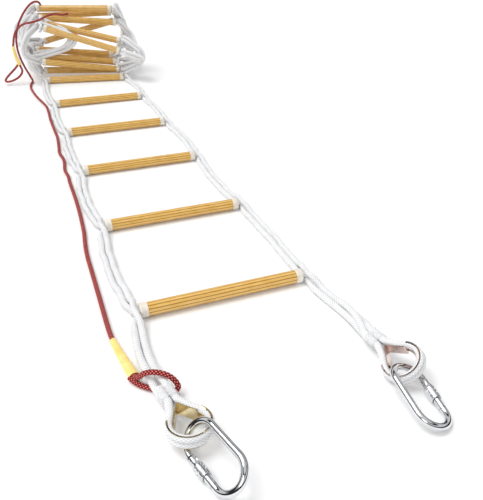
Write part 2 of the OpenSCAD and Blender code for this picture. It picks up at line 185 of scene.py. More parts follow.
# ---------------------------------------------------------------- meshes
def piece_of(name, points, faces, material, uv, sharp=None):
    """A smooth-shaded mesh object from points in millimetres, with its UVs face corner by face corner."""
    mesh = bpy.data.meshes.new(name)
    mesh.from_pydata((np.asarray(points) * MM).tolist(), [], faces)
    mesh.uv_layers.new(name="UVMap").data.foreach_set("uv", np.asarray(uv, np.float32).ravel())
    mesh.shade_smooth()
    if sharp:
        mesh.set_sharp_from_angle(angle=radians(sharp))
    mesh.materials.append(material)
    obj = bpy.data.objects.new(name, mesh)
    bpy.context.scene.collection.objects.link(obj)
    return obj


def grid(rows, v, cols, looped=False):
    """Faces and UVs between rings of points, facing out: u from 0 to 1 round them, v given ring by ring."""
    count = rows if looped else rows - 1
    i, j = np.meshgrid(np.arange(count), np.arange(cols), indexing="ij")
    corners = [(i, j), (i + 1, j), (i + 1, j + 1), (i, j + 1)]
    faces = np.stack([(a % rows) * cols + b % cols for a, b in corners], -1).reshape(-1, 4)
    v = np.asarray(v, float)
    uv = np.stack([np.stack([b / cols, v[a % rows]], -1) for a, b in corners], 2).reshape(-1, 2)
    return faces.tolist(), uv


def braid_height(a, b):
    """Height from 0 to 1 of a plain braid, where a and b count the strands of its two hands."""
    even = (np.floor(a) + np.floor(b)) % 2 == 0
    across, along = np.where(even, b % 1, a % 1), np.where(even, a % 1, b % 1)
    return np.sin(pi * across) ** 0.7 * (0.5 + 0.5 * np.sin(pi * along))


def braided(radius, cells, relief):
    """The radius of a braided rope, from the turn round it and the distance along it."""
    def at(u, along):
        v = along / (2 * pi * radius)
        return radius - relief * (1 - braid_height(cells * (u + v), cells * (u - v)))
    return at


def swept(line, radius_at, sides, step, top=None, wide=None, tall=None):
    """Rings along a line: their even middles, their points and how far along they are.
    wide and tall scale them across and along top, a direction for each point of the line."""
    along = arc_length(line)
    even, at = spaced(line, step)
    t = directions(even)
    if top is None:
        up = carried(even)
    else:
        up = np.stack([np.interp(at, along, top[:, k]) for k in range(3)], axis=1)
        up = unit(up - (up * t).sum(1, keepdims=True) * t)
    side = np.cross(t, up)
    across = np.ones(len(even)) if wide is None else np.interp(at, along, wide)
    upward = np.ones(len(even)) if tall is None else np.interp(at, along, tall)
    u = np.arange(sides) / sides
    r = radius_at(u[None], at[:, None])
    x = (r * np.cos(2 * pi * u) * across[:, None])[..., None] * side[:, None]
    y = (r * np.sin(2 * pi * u) * upward[:, None])[..., None] * up[:, None]
    return even, even[:, None] + x + y, at


# The rings that close a rope's end: each one's size, and how many radii it lies past the last full ring.
DOME = ((0.93, 0.16), (0.72, 0.32), (0.42, 0.4), (0.12, 0.43))
FLAT = ((0.6, 0.0), (0.15, 0.0))


def rope_piece(name, rings, first, last, radius, material, domes=(False, False)):
    """A closed piece of a rope from ring first to ring last, and its middle line.
    domes says which of its two ends are rounded."""
    even, points, along = rings
    rows, v = list(points[first:last + 1]), list(along[first:last + 1] / (2 * pi * radius))
    for is_start, dome in zip((True, False), domes):
        i, j = (first, first + 1) if is_start else (last, last - 1)
        d = unit(even[i] - even[j])
        for share, out in DOME if dome else FLAT:
            ring = even[i] + (points[i] - even[i]) * share + d * radius * out
            if is_start:
                rows.insert(0, ring)
                v.insert(0, v[0] - out / 6)
            else:
                rows.append(ring)
                v.append(v[-1] + out / 6)
    sides = points.shape[1]
    faces, uv = grid(len(rows), v, sides)
    count = len(rows) * sides
    faces += [list(range(sides)), [count - 1 - k for k in range(sides)]]
    uv = np.vstack([uv, np.zeros((2 * sides, 2))])
    return piece_of(name, np.concatenate(rows), faces, material, uv), even[first:last + 1]


def shell_piece(name, rows, v, material, sharp=None):
    """A hollow piece whose rings run along its outside and back along its inside."""
    faces, uv = grid(len(rows), v, len(rows[0]), looped=True)
    return piece_of(name, np.concatenate(rows), faces, material, uv, sharp)


def declare(path):
    """Takes a piece of rope's middle line and scales it to metres; the result is not kept."""
    path = path * MM


# ---------------------------------------------------------------- materials
class Look:
    """A material with its Principled shader, and short calls for the nodes that feed it."""

    def __init__(self, name, **surface):
        self.material = bpy.data.materials.new(name)
        self.material.use_nodes = True
        self.tree = self.material.node_tree
        self.shader = self.tree.nodes["Principled BSDF"]
        for key, value in surface.items():
            self.shader.inputs[key.replace("_", " ")].default_value = value

    def node(self, kind, **settings):
        made = self.tree.nodes.new(kind)
        for key, value in settings.items():
            setattr(made, key, value)
        return made

    def feed(self, socket, value):
        if isinstance(value, bpy.types.NodeSocket):
            self.tree.links.new(value, socket)
        else:
            socket.default_value = value

    def math(self, operation, *values):
        made = self.node("ShaderNodeMath", operation=operation)
        for socket, value in zip(made.inputs, values):
            self.feed(socket, value)
        return made.outputs[0]

    def scaled(self, vector, by):
        made = self.node("ShaderNodeVectorMath", operation="MULTIPLY")
        self.feed(made.inputs[0], vector)
        made.inputs[1].default_value = by
        return made.outputs[0]

    def noise(self, vector, scale, detail=3, roughness=0.55):
        made = self.node("ShaderNodeTexNoise")
        self.feed(made.inputs["Vector"], vector)
        made.inputs["Scale"].default_value = scale
        made.inputs["Detail"].default_value = detail
        made.inputs["Roughness"].default_value = roughness
        return made.outputs["Fac"]

    def ramp(self, factor, *stops):
        made = self.node("ShaderNodeValToRGB")
        self.feed(made.inputs[0], factor)
        elements = made.color_ramp.elements
        while len(elements) < len(stops):
            elements.new(0.5)
        for element, (position, colour) in zip(elements, stops):
            element.position = position
            element.color = (*colour, 1) if isinstance(colour, tuple) else (colour, colour, colour, 1)
        return made.outputs[0]

    def mix(self, factor, a, b, blend_type="MIX"):
        made = self.node("ShaderNodeMix", data_type="RGBA", blend_type=blend_type)
        for socket, value in zip((made.inputs[0], made.inputs[6], made.inputs[7]), (factor, a, b)):
            self.feed(socket, (*value, 1) if isinstance(value, tuple) and len(value) == 3 else value)
        return made.outputs[2]

    def bump(self, height, distance, strength=1.0, normal=None):
        made = self.node("ShaderNodeBump")
        made.inputs["Distance"].default_value = distance
        made.inputs["Strength"].default_value = strength
        self.feed(made.inputs["Height"], height)
        if normal is not None:
            self.feed(made.inputs["Normal"], normal)
        return made.outputs[0]

    def uv(self):
        return self.node("ShaderNodeTexCoord").outputs["UV"]

    def place(self):
        return self.node("ShaderNodeTexCoord").outputs["Object"]

    def set(self, socket, value):
        self.feed(self.shader.inputs[socket], value)

    def braid(self, cells, yarns):
        """A braid from the UVs: its height and the lines of its yarns, both from 0 to 1."""
        parts = self.node("ShaderNodeSeparateXYZ")
        self.feed(parts.inputs[0], self.uv())
        u, v = parts.outputs[0], parts.outputs[1]
        a = self.math("MULTIPLY", self.math("ADD", u, v), cells)  # the strands of the one hand
        b = self.math("MULTIPLY", self.math("SUBTRACT", u, v), cells)  # and of the other
        floors = self.math("ADD", self.math("FLOOR", a), self.math("FLOOR", b))
        odd = self.math("ABSOLUTE", self.math("MODULO", floors, 2.0))
        fa, fb = self.math("FRACT", a), self.math("FRACT", b)

        def pick(when_even, when_odd):
            return self.math("ADD", self.math("MULTIPLY", self.math("SUBTRACT", 1.0, odd), when_even),
                             self.math("MULTIPLY", odd, when_odd))

        across, along = pick(fb, fa), pick(fa, fb)
        hump = self.math("POWER", self.math("SINE", self.math("MULTIPLY", across, pi)), 0.7)
        rise = self.math("MULTIPLY_ADD", self.math("SINE", self.math("MULTIPLY", along, pi)), 0.5, 0.5)
        height = self.math("MULTIPLY", hump, rise)
        lines = self.math("SINE", self.math("MULTIPLY", across, 2 * pi * yarns))
        return height, self.math("MULTIPLY_ADD", lines, 0.5, 0.5)


def rope_look(name, cells, yarns, crest, valley_shade, highlight_colour, roughness, sheen=0.25, depth=0.62, gloss=0.35):
    """Braided rope: its colour on the crests, painted shade that darkens the valleys up to the height depth,
    painted shade between the yarn lines, and a painted highlight colour on the crests' tops.
    """
    look = Look(name, Roughness=roughness, Sheen_Weight=sheen, Sheen_Roughness=0.5, Specular_IOR_Level=gloss)
    height, lines = look.braid(cells, yarns)
    soft = look.noise(look.place(), 60, 2)
    fuzz = look.noise(look.place(), 2600, 3)
    # Painted shade: the valleys between the braid's strands are darkened towards the valley colour.
    colour = look.mix(look.ramp(height, (0.1, 0.0), (depth, 1.0)), valley_shade, crest)
    # Painted highlight: the tops of the crests are brightened towards the highlight colour, in random
    # patches.
    painted_highlight = look.math("MULTIPLY", look.ramp(height, (0.6, 0.0), (0.9, 1.0)),
                       look.ramp(look.noise(look.place(), 300, 2), (0.3, 0.5), (0.6, 1.0)))
    colour = look.mix(painted_highlight, colour, highlight_colour)
    # Painted shade between the yarns along the yarn lines, mixed with a random tone from the soft noise.
    shade = look.ramp(look.math("ADD", look.math("MULTIPLY", lines, 0.5), look.math("MULTIPLY", soft, 0.5)),
                      (0.15, 0.8), (0.75, 1.0))
    look.set("Base Color", look.mix(1.0, colour, shade, "MULTIPLY"))
    grain = look.bump(look.math("ADD", lines, fuzz), 0.00012, 0.6)
    look.set("Normal", look.bump(height, 0.0005, 0.8, grain))
    return look.material


WHITE_CELLS, CORE_CELLS, RED_CELLS = 8, 6, 5
# For each rope: its crest colour, the painted shade of its valleys and the painted highlight on its crests'
# tops.
white_rope = rope_look("white_rope", WHITE_CELLS, yarns=4, crest=(0.95, 0.95, 0.95),
                       valley_shade=(0.6, 0.62, 0.66), highlight_colour=(1.0, 1.0, 1.0), roughness=0.72)
white_core = rope_look("white_core", CORE_CELLS, yarns=3, crest=(0.94, 0.94, 0.93),
                       valley_shade=(0.56, 0.58, 0.62), highlight_colour=(1.0, 1.0, 1.0), roughness=0.75)
red_rope = rope_look("red_rope", RED_CELLS, yarns=3, crest=(0.34, 0.006, 0.01), valley_shade=(0.008, 0.0, 0.0),
                     highlight_colour=(0.95, 0.3, 0.27), roughness=0.7, sheen=0.0, depth=0.85, gloss=0.12)


def amber_look():
    """Glossy pultruded glass fibre: fine lengthwise fibres, paler patches, and painted shade that darkens
    the grooves.
    """
    look = Look("amber_tube", Roughness=0.28, Coat_Weight=0.8, Coat_Roughness=0.06, Specular_IOR_Level=0.5)
    parts = look.node("ShaderNodeSeparateXYZ")
    look.feed(parts.inputs[0], look.uv())
    turn = look.math("MULTIPLY", parts.outputs[0], GROOVES)
    off = look.math("ABSOLUTE", look.math("SUBTRACT", look.math("FRACT", look.math("ADD", turn, 0.5)), 0.5))
    # Painted shade: the colour is darkened to dark brown in the grooves.
    groove_shade = look.ramp(off, (0.03, 0.85), (0.17, 0.0))
    fibres = look.noise(look.scaled(look.uv(), (150, 0.9, 1)), 1, 3)
    patches = look.noise(look.scaled(look.uv(), (5, 2.2, 1)), 1, 4)
    body = look.ramp(fibres, (0.3, (0.6, 0.32, 0.05)), (0.52, (0.8, 0.47, 0.1)), (0.75, (0.93, 0.64, 0.22)))
    body = look.mix(look.ramp(patches, (0.35, 0.0), (0.75, 0.45)), body, (0.9, 0.6, 0.2))
    look.set("Base Color", look.mix(groove_shade, body, (0.27, 0.12, 0.015)))
    look.set("Roughness", look.ramp(patches, (0.3, 0.2), (0.7, 0.38)))
    look.set("Normal", look.bump(fibres, 0.00006, 0.5))
    return look.material


def plastic_look(name, dark, light, scale, roughness, dent=0.0003, **surface):
    """Moulded or shrunk plastic: a mottled colour and a slightly uneven gloss."""
    look = Look(name, **surface)
    mottle = look.noise(look.place(), scale, 4)
    look.set("Base Color", look.ramp(mottle, (0.3, dark), (0.7, light)))
    dull = look.noise(look.place(), scale * 2.3, 3)
    look.set("Roughness", look.ramp(dull, (0.3, roughness), (0.7, roughness + 0.16)))
    look.set("Normal", look.bump(look.noise(look.place(), scale * 1.6, 3), dent, 0.5))
    return look.material


def metal_look(name, dark, light, roughness, scale, scratch):
    """Polished or plated metal: slight shade changes, fine scratches and smudges."""
    look = Look(name, Metallic=1.0)
    patches = look.noise(look.place(), scale, 4)
    lines = look.noise(look.scaled(look.place(), (900, 120, 900)), 1, 3)
    look.set("Base Color", look.ramp(patches, (0.3, dark), (0.7, light)))
    smudges = look.math("MULTIPLY", patches, lines)
    look.set("Roughness", look.ramp(smudges, (0.12, roughness), (0.45, roughness + 0.07)))
    look.set("Normal", look.bump(lines, scratch, 0.5))
    return look.material


amber = amber_look()
cap_plastic = plastic_look(
    "cap_plastic", dark=(0.72, 0.66, 0.56), light=(0.9, 0.87, 0.8), scale=90, roughness=0.3,
    Subsurface_Weight=0.25, Subsurface_Radius=(0.004, 0.003, 0.002), Coat_Weight=0.3)
yellow_plastic = plastic_look(
    "yellow_sleeve", dark=(0.93, 0.66, 0.16), light=(1.0, 0.79, 0.3), scale=70, roughness=0.34,
    Coat_Weight=0.35)
clear_film = plastic_look(
    "clear_film", dark=(0.9, 0.92, 0.95), light=(1.0, 1.0, 1.0), scale=120, roughness=0.06, dent=0.0006,
    Alpha=0.28, Coat_Weight=1.0, Coat_Roughness=0.04, IOR=1.5)
zinc = metal_look("zinc_strip", dark=(0.5, 0.37, 0.16), light=(0.85, 0.74, 0.48),
                  roughness=0.1, scale=60, scratch=0.00003)
pink_zinc = metal_look("pink_zinc_strip", dark=(0.5, 0.36, 0.32), light=(0.86, 0.72, 0.67),
                       roughness=0.1, scale=60, scratch=0.00003)
polished_steel = metal_look("polished_steel", dark=(0.6, 0.61, 0.63), light=(0.84, 0.85, 0.87),
                            roughness=0.04, scale=45, scratch=0.00001)
brushed_steel = metal_look("brushed_steel", dark=(0.62, 0.63, 0.65), light=(0.84, 0.85, 0.87),
                           roughness=0.17, scale=150, scratch=0.00002)
small_steel = metal_look("steel_small", dark=(0.38, 0.38, 0.4), light=(0.66, 0.66, 0.68),
                         roughness=0.22, scale=200, scratch=0.00004)


def made(obj, body, slot, *replaced):
    """A new piece that rides on a body and stands for CAD nodes, which it hides. Its slot is not used."""
    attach(obj, body)
    if replaced:
        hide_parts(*replaced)
    return obj


def bent(obj, body_a, body_b, start, end, slot, *replaced):
    """A new piece with its transform baked into its mesh, which hides the CAD nodes it stands for. The two
    bodies it is given are not used.
    """
    if replaced:
        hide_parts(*replaced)
    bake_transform(obj)
    return obj


# ---------------------------------------------------------------- places
def rung_y(k):
    return FIRST_Y + (k - 1) * RUNG_PITCH


def rung_place(k):
    """A laid-out rung's middle, yaw and rise, as in ROLLED."""
    return 0, rung_y(k), RUNG_Z, LAST_YAW if k == LAID else 0, 0


def axis_of(place):
    turn, rise = radians(place[3]), radians(place[4])
    return np.array([cos(turn) * cos(rise), sin(turn) * cos(rise), sin(rise)])


def rung_point(place, x):
    return np.array(place[:3], float) + x * axis_of(place)


def put(points, place):
    """Points along a rung's own x axis, moved to a rung's place."""
    x = axis_of(place)
    y = unit(np.array([-x[1], x[0], 0.0]))
    return np.array(place[:3], float) + np.asarray(points) @ np.stack([x, y, np.cross(x, y)])


def eye_put(side, points):
    """Points of an eye's own frame, x from its throat to its round end, moved to its place."""
    e = EYES[side]
    ct, st, cl, sl = cos(e["turn"]), sin(e["turn"]), cos(e["tilt"]), sin(e["tilt"])
    x = np.array([ct * cl, st * cl, sl])
    y = np.array([-st, ct, 0.0])
    z = np.cross(x, y)
    middle = np.array([0, 0, EYE_LEVEL])
    cn, sn = cos(e["lean"]), sin(e["lean"])
    lean = np.stack([x, cn * y + sn * z, cn * z - sn * y])
    return e["at"] + middle @ np.stack([x, y, z]) + (np.asarray(points, float) - middle) @ lean


# The waves of a rope's wander: each one's share, and the length in which it turns by one radian.
WANDER = ((0.5, 17), (0.35, 9.5), (0.15, 5))


def waves(at, seed, size):
    """A slow, seeded wander along a rope."""
    draw = np.random.default_rng(seed).uniform(0, 2 * pi, len(WANDER))
    return size * sum(share * np.sin(at / length + start) for (share, length), start in zip(WANDER, draw))


# ---------------------------------------------------------------- cords: the white ropes
WHITE_R, HALF_GAP, PINCH_GAP = ROPE_D / 2, 6.6, 7.5
LAID_STEP, LAID_SIDES, ROLL_STEP, ROLL_SIDES = ((1.6, 32, 2.3, 24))
white_at = braided(WHITE_R, WHITE_CELLS, 0.45)

# Half the distance between a pair's middles is HALF_GAP side by side, and PINCH_GAP stacked at a rung.
# The seeds and sizes of the wander of a pair of ropes, and of each rope in it.
PAIR_SEED, PAIR_WANDER, STRAND_SEED, STRAND_WANDER = 11, 1.6, 40, 0.5
# The ropes are pinched fully this near to a rung's middle, and let go over the next stretch.
GRIP, LET_GO = 5, 46
# The shares of its width and height that a rope loses where it is pinched, and in its eye.
PINCH_NARROWS, PINCH_LOWERS, EYE_NARROWS, EYE_LOWERS = 0.22, 0.2, 0.13, 0.25
# The stretch in which the tail turns into the eye, and half the rise between its two ropes there.
INTO_EYE, EYE_RISE = 46, 5
# In the eye: the ropes' distance out from the eye's own radius, and half the distance between their layers.
EYE_OUT, EYE_LAYER = 7.75, 4.6
# The right eye's upper rope end, back along the tail: how far, its way across and its rise.
RETURNED = ((16, -6.4, 7.6), (42, -3.5, 10.6), (70, 0, 10.8), (96, 0, 10.4))


def pinched(distance):
    """How far the ropes are pinched, from 0 to 1, at a distance from the middle of a rung."""
    return smoothstep(1 - (distance - GRIP) / LET_GO)


def pair_line(side):
    """The middle of a side's two ropes from rung 6 to rung 1, and how far each point is pinched."""
    far_end = rung_point(rung_place(LAID), side * RAIL_X)
    ys = np.linspace(far_end[1], rung_y(1), 520)
    xs, zs = np.empty_like(ys), np.full_like(ys, WHITE_R + 0.1)
    for k in range(1, LAID):
        far = rung_point(rung_place(k + 1), side * RAIL_X)
        y1 = rung_y(k) + HINGE_GAP
        y2 = far[1] - (LAST_HINGE_GAP if k == LAID - 1 else HINGE_GAP)
        t = np.clip((ys - y1) / (y2 - y1), 0, 1)
        x = side * (RAIL_X + BOWS[side][k - 1] * np.sin(pi * t) + (abs(far[0]) - RAIL_X) * t)
        here = (ys >= rung_y(k)) & (ys <= far[1] + 1e-6)
        xs[here] = x[here]
    near = np.min([abs(ys - y) for y in [rung_y(k) for k in range(1, LAID)] + [far_end[1]]], axis=0)
    pinch = pinched(near)
    xs = xs + waves(ys, PAIR_SEED + side, PAIR_WANDER) * (1 - pinch)
    return np.stack([xs, ys, zs], axis=1), pinch


def eye_route(name, j):
    """One rope's route from its throat round the eye and back."""
    r, slope = EYE_R + EYE_OUT, tan(EYE_HALF)
    apex = EYE_MID - r / sin(EYE_HALF)
    leg = [(5, HALF_GAP), (20, HALF_GAP), (37, HALF_GAP), (apex + 23, 23 * slope), (apex + 34, 34 * slope)]
    turns = np.linspace(pi / 2 + EYE_HALF, -pi / 2 - EYE_HALF, 19)
    ring = [(EYE_MID + r * cos(a), r * sin(a)) for a in turns]
    back = [(x, -y) for x, y in leg[::-1]]
    return eye_put(name, [(x, j * y, EYE_LEVEL + EYE_LAYER * j) for x, y in leg + ring + back])


def strand_line(side, j):
    """One of a side's two ropes, down the tail and round the eye: its line, tops, and scale across and
    upward. j says which of the two: -1 or 1."""
    name = "left" if side < 0 else "right"
    pair, pinch = pair_line(side)
    into = eye_put(name, [(-1, 0, EYE_LEVEL), (4, 0, EYE_LEVEL)])
    down = curve_through([pair[-1], *TAILS[name], *into], 8)[1:-8]
    gone = arc_length(down)
    pinch = np.concatenate([pinch, pinched(gone)])
    lift = np.concatenate([np.zeros(len(pair)), smoothstep((gone - gone[-1] + INTO_EYE) / INTO_EYE)])
    middle = np.vstack([pair, down])
    t = directions(middle)
    across = unit(np.cross(np.array([0, 0, 1.0]), -t) * [1, 1, 0])
    across = -across * np.sign(-t[:, 1:2])
    turn = pinch * pi / 2
    line = middle + across * (j * HALF_GAP * np.cos(turn))[:, None]
    wander = waves(middle[:, 1], STRAND_SEED + 3 * side + j, STRAND_WANDER)
    line += across * (wander * (1 - pinch) * (1 - lift))[:, None]
    lean = EYES[name]["lean"] * lift
    line += across * (j * (HALF_GAP * (np.cos(lean) - 1) - EYE_RISE * lift * np.sin(lean)))[:, None]
    line[:, 2] += (1 + j) * PINCH_GAP * np.sin(turn) - 0.6 * pinch
    line[:, 2] += j * (EYE_RISE * lift * np.cos(lean) + HALF_GAP * np.sin(lean))
    route = eye_route(name, j)
    if (name, j) == ("right", 1):
        returned = []
        for back_by, out, rise in RETURNED:
            k = len(pair) + np.argmax(gone >= gone[-1] - back_by)
            returned.append(middle[k] + across[k] * out + [0, 0, rise])
        route = np.vstack([route, returned])
    eye = curve_through(route, 6)
    up = eye_put(name, [(0, 0, 1)])[0] - eye_put(name, [(0, 0, 0)])[0]
    lift_row = lift[:, None]
    top = np.vstack([np.array([0, 0, 1.0]) * (1 - lift_row) + up * lift_row, np.tile(up, (len(eye), 1))])
    wide = np.concatenate([1 - PINCH_NARROWS * pinch - EYE_NARROWS * lift,
                           np.full(len(eye), 1 - EYE_NARROWS)])
    tall = np.concatenate([1 - PINCH_LOWERS * pinch - EYE_LOWERS * lift,
                           np.full(len(eye), 1 - EYE_LOWERS)])
    return np.vstack([line, eye]), top, wide, tall


# A loop between two rungs of the roll is drawn in this many steps. Some of them are kept for its route,
# and two give the ropes' run through the rung before and the rung after. Rung 6 takes an earlier one,
# and its run leans towards y, along which the ladder arrives there.
LOOP_STEPS, LOOP_KEPT = 100, (24, 37, 50, 63, 76)
RUN_OUT, RUN_IN = 30, 70
FIRST_RUN_OUT, FIRST_LEAN = 12, 40.0
# The route's points to each side of a rung: how far along the ropes, and how far out from the cap.
BESIDE, OUTWARD = 20, 7


def loop_middle(side):
    """The middle of a side's two ropes through the roll, which of its points are rungs, and at each rung
    the direction of one rope from the other."""
    places = [rung_place(LAID), *ROLLED]
    ends = [rung_point(p, side * RAIL_X) for p in places]
    loops = []
    for n, (a, b) in enumerate(zip(ends[:-1], ends[1:])):
        px, py = PULLS[side][n]
        pull, rise = np.array([side * px, py, 0.0]), np.array([0, 0, LOOP_RISE * (b[2] - a[2])])
        t = np.linspace(0, 1, LOOP_STEPS + 1)[:, None]
        loops.append((1 - t)**3 * a + 3 * (1 - t)**2 * t * (a + pull + rise)
                     + 3 * (1 - t) * t**2 * (b + pull - rise) + t**3 * b)
    points, marks, gaps = [], [], []
    for n, place in enumerate(places):
        axis = axis_of(place)
        out = side * axis
        if n == 0:
            run = loops[0][FIRST_RUN_OUT] - loops[0][0] + np.array([0, FIRST_LEAN, 0])
        elif n == len(loops):
            run = loops[-1][-1] - loops[-1][RUN_IN]
        else:
            run = loops[n][RUN_OUT] - loops[n - 1][RUN_IN]
        run = unit(run - (run @ axis) * axis)
        if n:
            points.append(ends[n] - BESIDE * run + OUTWARD * out)
        marks.append(len(points))
        points.append(ends[n])
        gaps.append(np.cross(run, axis))
        points.append(ends[n] + BESIDE * run + (OUTWARD * out if n < len(loops) else 0))
        if n < len(loops):
            points += [loops[n][i] for i in LOOP_KEPT]
    return np.array(points), marks, gaps


def roll_strands(side):
    """Both ropes of a side through the roll: line, tops, and scale across and upward. The pair turns
    round its middle from each rung to the next, so that it meets both the right way up."""
    per = 24
    points, marks, gaps = loop_middle(side)
    middle = curve_through(points, per)
    middle[:, 2] = np.maximum(middle[:, 2], WHITE_R + 0.2)
    gone = arc_length(middle)
    t = directions(middle)
    marks = [m * per for m in marks]
    gap = gaps[0] * (1 if gaps[0][2] > 0 else -1)
    tops = np.empty_like(middle)
    for start, end, aim in zip(marks, marks[1:] + [len(middle) - 1], gaps[1:] + [None]):
        v, straight = gap, []
        for i in range(start, end + 1):
            v = unit(v - (v @ t[i]) * t[i])
            straight.append(v)
        straight = np.array(straight)
        turn = 0.0
        if aim is not None:
            aim = unit(aim - (aim @ t[end]) * t[end])
            aim = aim if aim @ v > 0 else -aim
            turn = np.arctan2(np.cross(v, aim) @ t[end], v @ aim)
            gap = aim
        share = smoothstep((gone[start:end + 1] - gone[start]) / max(gone[end] - gone[start], 1e-6)) * turn
        sideways = np.cross(t[start:end + 1], straight)
        tops[start:end + 1] = np.cos(share)[:, None] * straight + np.sin(share)[:, None] * sideways
    pinch = pinched(np.min([abs(gone - gone[m]) for m in marks], axis=0))
    half = HALF_GAP + (PINCH_GAP - HALF_GAP) * pinch
    return [(middle + j * half[:, None] * tops, tops, 1 - PINCH_NARROWS * pinch, 1 - PINCH_LOWERS * pinch)
            for j in (-1, 1)]


def cut_at(rings, y):
    """The ring of a line that comes down the ladder at which it passes y."""
    return int(np.argmax(rings[0][:, 1] <= y))


def past_last_rung():
    """The direction square to rung 6, down the ladder."""
    x = axis_of(rung_place(LAID))
    return np.array([x[1], -x[0], 0.0])


def body_above(k):
    """The body on the roll's side of rung k."""
    return f"bay_{k}" if k < LAID else "roll"


def body_below(k, side_name):
    """The body on the tails' side of rung k."""
    return f"bay_{k - 1}" if k > 1 else side_name + "_tail"


# The stretch to each side of a rung, and the one past rung 6, towards rung 5, that a piece of rope is given
# as its start and end.
BEND, LAST_BEND = 25, 50


def bent_at_rung(obj, k, pivot, side_name, slot, *replaced):
    """A piece of rope that passes rung k, with its transform baked and the CAD nodes it stands for hidden.
    """
    start, end = pivot + [0, BEND, 0], pivot - [0, BEND, 0]
    if k == LAID:
        start, end = pivot, pivot + LAST_BEND * past_last_rung()
    bent(obj, body_above(k), body_below(k, side_name), start, end, slot, *replaced)


# The ropes are cut into pieces halfway between the rungs.
MIDS = [rung_y(k) + RUNG_PITCH / 2 for k in range(LAID - 1, 0, -1)]
for side, side_name in ((-1, "left"), (1, "right")):
    for j, j_name in ((-1, "a"), (1, "b")):
        line, top, wide, tall = strand_line(side, j)
        rings = swept(line, white_at, LAID_SIDES, LAID_STEP, top, wide, tall)
        cuts = [0] + [cut_at(rings, y) for y in MIDS] + [len(rings[0]) - 1]
        for i, k in enumerate(range(LAID, 0, -1)):
            obj, path = rope_piece(f"{side_name}_rope_{k}{j_name}", rings, cuts[i], cuts[i + 1], WHITE_R,
                                   white_rope, (False, k == 1))
            replaced = [] if k == LAID else [f"{side_name}_rail_{k}"]
            if k == 1:
                replaced.insert(0, side_name + "_tail_rope")
            pivot = rung_point(rung_place(k), side * RAIL_X)
            bent_at_rung(obj, k, pivot, side_name, "white_rope", *replaced)
            declare(path)
    for (line, top, wide, tall), j_name in zip(roll_strands(side), "ab"):
        rings = swept(line, white_at, ROLL_SIDES, ROLL_STEP, top, wide, tall)
        obj, path = rope_piece(f"rolled_{side_name}_rope_{j_name}", rings, 0, len(rings[0]) - 1, WHITE_R,
                               white_rope, (False, True))
        made(obj, "roll", "white_rope", f"rolled_{side_name}_ropes")
        declare(path)

# ---------------------------------------------------------------- cords: the red line
RED_R, RED_STEP, RED_SIDES = RED_D / 2, *(((1.3, 24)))
red_at = braided(RED_R, RED_CELLS, 0.4)
RED_Z = RED_R + 0.05
SLEEVE_R = 5.7


def red_rings(route):
    """The rings of a stretch of the red line."""
    return swept(curve_through(route, 14), red_at, RED_SIDES, RED_STEP)


laid_route = [(*RED_ENDS[5], RED_Z)]
for k in range(LAID - 1, 0, -1):
    laid_route += [(x, y, RED_Z) for x, y in RED_BAYS[k - 1][::-1]] + [(*RED_ENDS[k - 1], RED_Z)]
laid_route += [(*RED_TAIL[1], RED_Z + 0.3), (*RED_TAIL[0], 6.0), (-208, -862, 6.2)]
rings = red_rings(laid_route)


def sleeve_piece(name, route, wide, tall):
    """A shrink sleeve: a thin tube with slight ripples, drawn in at its mouths, that widens along its
    route to wide and tall times its size."""
    line = curve_through(route, 12)
    length = arc_length(line)[-1]

    def outside(u, at):
        mouth = np.exp(-at / 3) + np.exp(-(length - at) / 3)
        ripple = 0.16 * np.sin(at / 2.1 + 2 * np.sin(2 * pi * u)) + 0.1 * np.sin(6 * pi * u + at / 9)
        return SLEEVE_R + ripple - 0.45 * mouth

    share = np.linspace(0, 1, len(line))
    scale = (1 + (wide - 1) * smoothstep(share), 1 + (tall - 1) * smoothstep(share))
    middle, points, at = swept(line, outside, 40, 1.2, None, *scale)
    bore = 0.86
    inner = middle[:, None] + (points - middle[:, None]) * bore
    rows = list(points) + list(inner[::-1])
    v = np.concatenate([at, at[::-1]]) / (2 * pi * SLEEVE_R)
    return shell_piece(name, rows, v, yellow_plastic, 50)


near_sleeve = sleeve_piece("line_sleeve_skin", NEAR_SLEEVE, 1.45, 1.05)
made(near_sleeve, "left_tail", "yellow_sleeve", "line_sleeve")
far_sleeve = sleeve_piece("far_sleeve_skin", FAR_SLEEVE, 1.3, 1.3)
made(far_sleeve, "roll", "yellow_sleeve", "far_line_sleeve")

cuts = [0] + [cut_at(rings, y) for y in MIDS] + [len(rings[0]) - 1]
for i, k in enumerate(range(LAID, 0, -1)):
    obj, path = rope_piece(f"red_line_{k}_skin", rings, cuts[i], cuts[i + 1], RED_R, red_rope)
    replaced = [] if k == LAID else [f"red_line_{k}"]
    bent_at_rung(obj, k, np.array([*RED_ENDS[k - 1], RED_Z]), "left", "red_rope", *replaced)
    declare(path)

# The red line's stretches that ride on one body: the body, the CAD node they stand for, and the route.
LOOSE_RED = {
    "red_loop": ("left_tail", "red_line_loop", [(-198, -934, 7.8), *NEAR_LOOP, (-203, -943, 5.6)]),
    "red_rise": ("roll", "rolled_red_line", [(*RED_ENDS[5], RED_Z), *RED_UP]),
    "red_fall": ("roll", "rolled_red_line", [*RED_DOWN, (-255, 972, 138), (-254, 965, 126)]),
    "red_far_loop": ("roll", "rolled_red_line",
                     [(-246, 945, 84), *FAR_LOOP, (-262, 953, 60), (-252, 946, 72), (-248, 944, 80)]),
}
for name, (body, node, route) in LOOSE_RED.items():
    rings = red_rings(route)
    obj, path = rope_piece(name, rings, 0, len(rings[0]) - 1, RED_R, red_rope)
    made(obj, body, "red_rope", node)
    declare(path)

# ---------------------------------------------------------------- rungs
# A groove's depth, its half width in degrees, and how far a land has fallen at its edge.
GROOVE_DEPTH, GROOVE_HALF, LAND_FALL = 1.15, 6.2, 0.12
BORE_R, END_GAP = 9.5, 0.2
# The rope through a rung: half its length, and its knobs' rise and start, from the rung's middle.
CORE_HALF, KNOB_RISE, KNOB_START = 168.5, 2.6, 157


